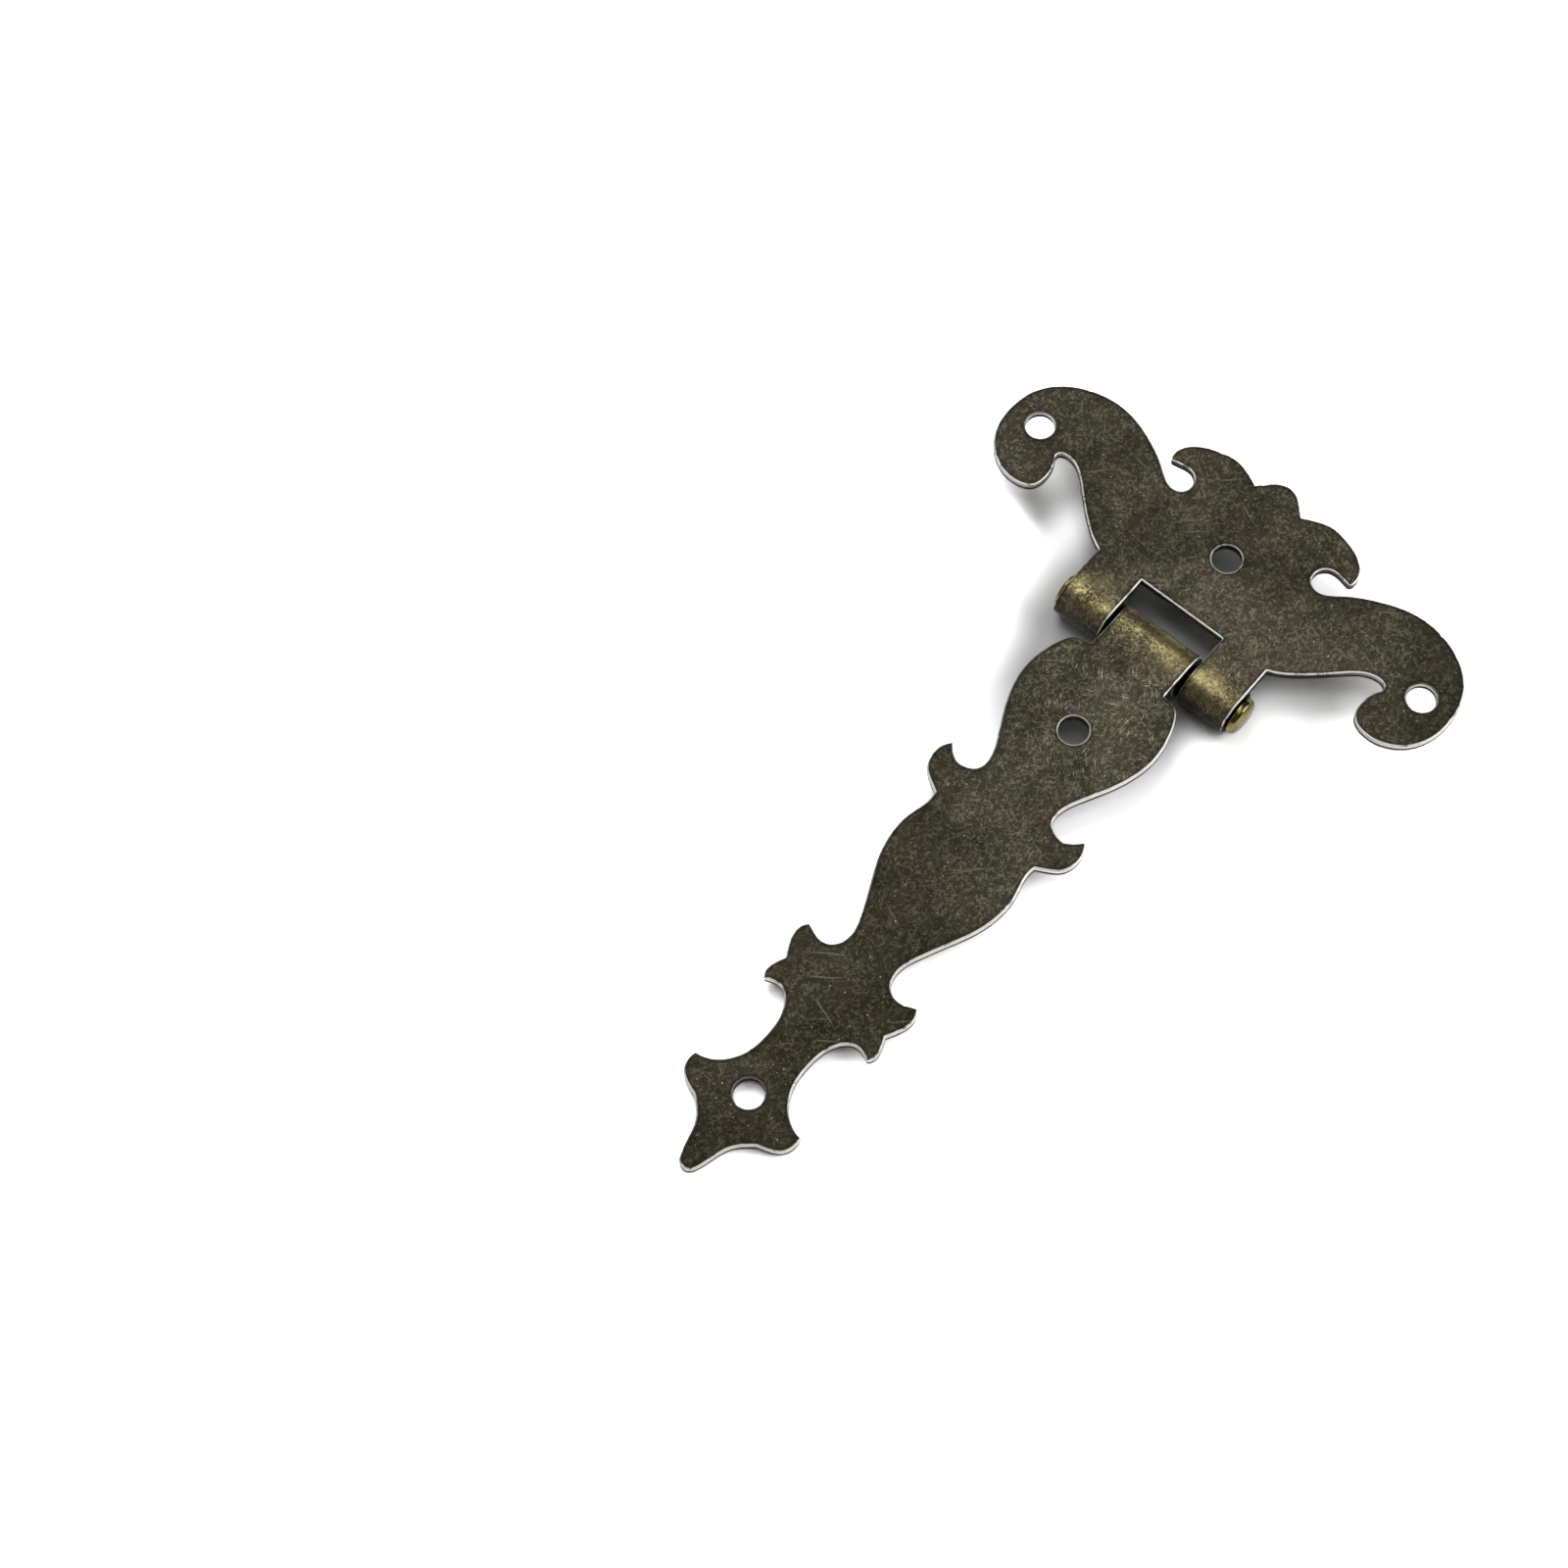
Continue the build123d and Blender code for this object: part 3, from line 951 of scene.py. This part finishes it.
def scatter_flecks(leaf_name, body, seed):
    """Mesh of the flecks on one leaf, baked from the scatter tree."""
    sizes = bpy.context.scene.box_hinge_sizes
    group = fleck_tree()
    ground = bpy.data.objects[leaf_name].data.copy()
    holder = bpy.data.objects.new("fleck_holder", ground)
    bpy.context.collection.objects.link(holder)
    modifier = holder.modifiers.new("flecks", "NODES")
    modifier.node_group = group
    values = {"Density": FLECK_DENSITY, "Width": sizes.fleck, "Seed": seed,
              "Material": fleck_material()}
    for item in group.interface.items_tree:
        if item.item_type == "SOCKET" and item.in_out == "INPUT" and item.name in values:
            modifier[item.identifier] = values[item.name]
    bpy.context.view_layer.update()
    graph = bpy.context.evaluated_depsgraph_get()
    mesh = bpy.data.meshes.new_from_object(holder.evaluated_get(graph))
    bpy.data.objects.remove(holder)
    bpy.data.meshes.remove(ground)
    if not mesh.polygons:
        raise RuntimeError("no flecks were made on " + leaf_name)
    name = leaf_name.replace("dressed", "flecks_on")
    mesh.name = name
    flecks = bpy.data.objects.new(name, mesh)
    bpy.context.collection.objects.link(flecks)
    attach(flecks, body)
    return flecks


# Table, lamps and camera

def floor_plane():
    """A point of the table's top and its tilt about X: it touches the knuckles and the strap's tip."""
    pin_y = pin_axis_y()
    cross_low, cross_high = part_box("cross_leaf")
    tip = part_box("strap_leaf")[0].y
    radius = (cross_high.z - cross_low.z) / 2
    centre = Vector((pin_y, cross_high.z - radius))
    away = centre - Vector((tip, 0))
    tilt = math.asin(radius / away.length) - math.atan2(centre.y, away.x)
    return Vector((0, tip, 0)), tilt


def table_material():
    """White table, made lighter for camera rays so that it is white in the open, with a painted shadow
    round the knuckles and painted light beside the left arm.
    """
    colours = bpy.context.scene.box_hinge_colours
    material, t, shader = new_material("white_table")
    path = t.add("ShaderNodeLightPath").outputs
    place = t.add("ShaderNodeTexCoord").outputs["Object"]
    squeezed = t.add("ShaderNodeVectorMath", operation="MULTIPLY")
    t.link(place, squeezed.inputs[0])
    squeezed.inputs[1].default_value = (1.4, 0.9, 1)
    oval = squeezed.outputs[0]

    # painted shadow: darker round the knuckles; painted light: lighter in the open and in a spot
    # beside the left arm, which washes out shadows there
    knuckles = t.away_from(oval, (-3.5 * MM, 0.9 * (pin_axis_y() + 3 * MM), 0))
    from_painted_light_spot = t.away_from(place, (-22 * MM, pin_axis_y() + 2 * MM, 0))
    painted_shadow = t.ramp(knuckles, 13.5 * MM, 21.5 * MM)
    white = t.mix(painted_shadow, rgba(colours.floor, 0.52), rgba(colours.floor, 1.8))
    white = t.scaled(white, t.ramp(knuckles, 24 * MM, 32 * MM, 1.0, 1.35))
    white = t.scaled(white, t.ramp(from_painted_light_spot, 3.5 * MM, 7 * MM, 2.2, 1.0))

    mirrored = t.most(path["Is Glossy Ray"], path["Is Transmission Ray"])
    shown = t.mix(mirrored, rgba(colours.floor, 0.27), rgba(colours.floor, 1.5))
    t.link(t.mix(path["Is Camera Ray"], shown, white), shader.inputs["Base Color"])
    distant = t.ramp(t.away_from(oval, (0, 0, 0)), 0.18, 0.4)
    shader.inputs["Emission Color"].default_value = (1, 1, 1, 1)
    t.link(t.times(path["Is Camera Ray"], distant), shader.inputs["Emission Strength"])
    shader.inputs["Roughness"].default_value = 0.9
    shader.inputs["Specular IOR Level"].default_value = 0.0
    return material


def build_table():
    """The table's top, in square cells."""
    point, tilt = floor_plane()
    turn = Matrix.Rotation(-tilt, 4, "X")
    reach, cells = 0.9, 8
    steps = np.linspace(-reach, reach, cells + 1)
    places = [tuple(point + turn @ Vector((x, y, -0.02 * MM))) for y in steps for x in steps]
    corners = [j * (cells + 1) + i for j in range(cells) for i in range(cells)]
    faces = [(k, k + 1, k + cells + 2, k + cells + 1) for k in corners]
    mesh = bpy.data.meshes.new("table")
    mesh.from_pydata(places, [], faces)
    table = bpy.data.objects.new("table", mesh)
    bpy.context.scene.collection.objects.link(table)
    mesh.materials.append(table_material())


def build_surroundings():
    """A dim white room that the camera sees as plain white."""
    world = bpy.data.worlds.new("studio")
    bpy.context.scene.world = world
    world.use_nodes = True
    world.node_tree.nodes.clear()
    t = Tree(world.node_tree)
    choose = t.add("ShaderNodeMixShader")
    t.link(t.add("ShaderNodeLightPath").outputs["Is Camera Ray"], choose.inputs[0])
    for socket, strength in ((choose.inputs[1], 0.1), (choose.inputs[2], 1.0)):
        light = t.add("ShaderNodeBackground")
        light.inputs["Color"].default_value = (1, 1, 1, 1)
        light.inputs["Strength"].default_value = strength
        t.link(light.outputs[0], socket)
    t.link(choose.outputs[0], t.add("ShaderNodeOutputWorld").inputs["Surface"])


def lamp(name, place, aim, width, power):
    """A square white lamp that points at its aim."""
    data = bpy.data.lights.new(name, "AREA")
    data.shape = "SQUARE"
    data.size = width
    data.energy = power
    light = bpy.data.objects.new(name, data)
    bpy.context.collection.objects.link(light)
    light.location = place
    light.rotation_euler = (Vector(aim) - Vector(place)).to_track_quat("-Z", "Y").to_euler()


def build_camera():
    """The photograph's camera."""
    data = bpy.data.cameras.new("camera")
    data.sensor_width = 36
    data.lens = 71.2
    camera = bpy.data.objects.new("camera", data)
    bpy.context.scene.collection.objects.link(camera)
    eye = Vector((0.0687, -0.134875, 0.28783))
    aim = Vector((-0.018022, -0.049084, 0.00284))
    roll = math.radians(-4.95)
    look = (aim - eye).to_track_quat("-Z", "Y").to_matrix().to_4x4()
    camera.matrix_world = Matrix.Translation(eye) @ look @ Matrix.Rotation(roll, 4, "Z")
    bpy.context.scene.camera = camera


def build_stage():
    """Table, surroundings, lamps and camera."""
    build_table()
    build_surroundings()
    middle = (0, -0.035, 0)
    lamp("overhead", (0, -0.035, 0.65), middle, width=0.3, power=0.45)
    lamp("key", (-0.315, 0.147, 0.539), middle, width=0.4, power=2.4)
    lamp("right_side", (0.422, 0.319, 0.344), middle, width=0.4, power=2.9)
    lamp("left_side", (-0.452, -0.351, 0.344), middle, width=0.4, power=0.4)
    build_camera()
    bpy.context.scene.view_settings.view_transform = "Standard"


# Operators, one for each piece or group, and their panel

class BOXHINGE_OT_cross_leaf(bpy.types.Operator):
    """Build the scrolled cross leaf with its two outer knuckles"""
    bl_idname = "boxhinge.cross_leaf"
    bl_label = "Cross leaf"

    def execute(self, context):
        reach = context.scene.box_hinge_sizes.cross_shade
        build_leaf("cross_leaf", CROSS_BODY, seed=11, inward=1, shade_reach=reach)
        return {"FINISHED"}


class BOXHINGE_OT_strap_leaf(bpy.types.Operator):
    """Build the long strap leaf with its middle knuckle"""
    bl_idname = "boxhinge.strap_leaf"
    bl_label = "Strap leaf"

    def execute(self, context):
        reach = context.scene.box_hinge_sizes.strap_shade
        build_leaf("strap_leaf", STRAP_BODY, seed=23, inward=-1, shade_reach=reach)
        return {"FINISHED"}


class BOXHINGE_OT_pin(bpy.types.Operator):
    """Build the pin with its domed head and its peened end"""
    bl_idname = "boxhinge.pin"
    bl_label = "Pin"

    def execute(self, context):
        build_pin()
        return {"FINISHED"}


class BOXHINGE_OT_flecks(bpy.types.Operator):
    """Scatter pale flecks over the finish of both leaves"""
    bl_idname = "boxhinge.flecks"
    bl_label = "Flecks"

    def execute(self, context):
        scatter_flecks("dressed_cross_leaf", CROSS_BODY, seed=5)
        scatter_flecks("dressed_strap_leaf", STRAP_BODY, seed=9)
        return {"FINISHED"}


class BOXHINGE_OT_stage(bpy.types.Operator):
    """Set the table, the lamps, the surroundings and the camera"""
    bl_idname = "boxhinge.stage"
    bl_label = "Stage"

    def execute(self, context):
        build_stage()
        return {"FINISHED"}


class BOXHINGE_PT_panel(bpy.types.Panel):
    """Steps of the hinge, in the order in which they are run"""
    bl_idname = "BOXHINGE_PT_panel"
    bl_label = "Box hinge"
    bl_space_type = "VIEW_3D"
    bl_region_type = "UI"
    bl_category = "Box hinge"

    def draw(self, context):
        column = self.layout.column()
        for operator in OPERATORS:
            column.operator(operator.bl_idname)


OPERATORS = (BOXHINGE_OT_stage, BOXHINGE_OT_cross_leaf, BOXHINGE_OT_strap_leaf,
             BOXHINGE_OT_pin, BOXHINGE_OT_flecks)
CLASSES = (BoxHingeSizes, BoxHingeColours, *OPERATORS, BOXHINGE_PT_panel)


def register():
    """Add the classes and the scene's two sets of properties."""
    for cls in CLASSES:
        bpy.utils.register_class(cls)
    bpy.types.Scene.box_hinge_sizes = bpy.props.PointerProperty(type=BoxHingeSizes)
    bpy.types.Scene.box_hinge_colours = bpy.props.PointerProperty(type=BoxHingeColours)


def unregister():
    """Take them out again."""
    del bpy.types.Scene.box_hinge_colours
    del bpy.types.Scene.box_hinge_sizes
    for cls in reversed(CLASSES):
        bpy.utils.unregister_class(cls)


def main():
    """Run every step in order."""
    register()
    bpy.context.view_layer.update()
    bpy.ops.boxhinge.stage()
    bpy.ops.boxhinge.cross_leaf()
    bpy.ops.boxhinge.strap_leaf()
    bpy.ops.boxhinge.pin()
    bpy.ops.boxhinge.flecks()


if __name__ == "__main__":
    main()
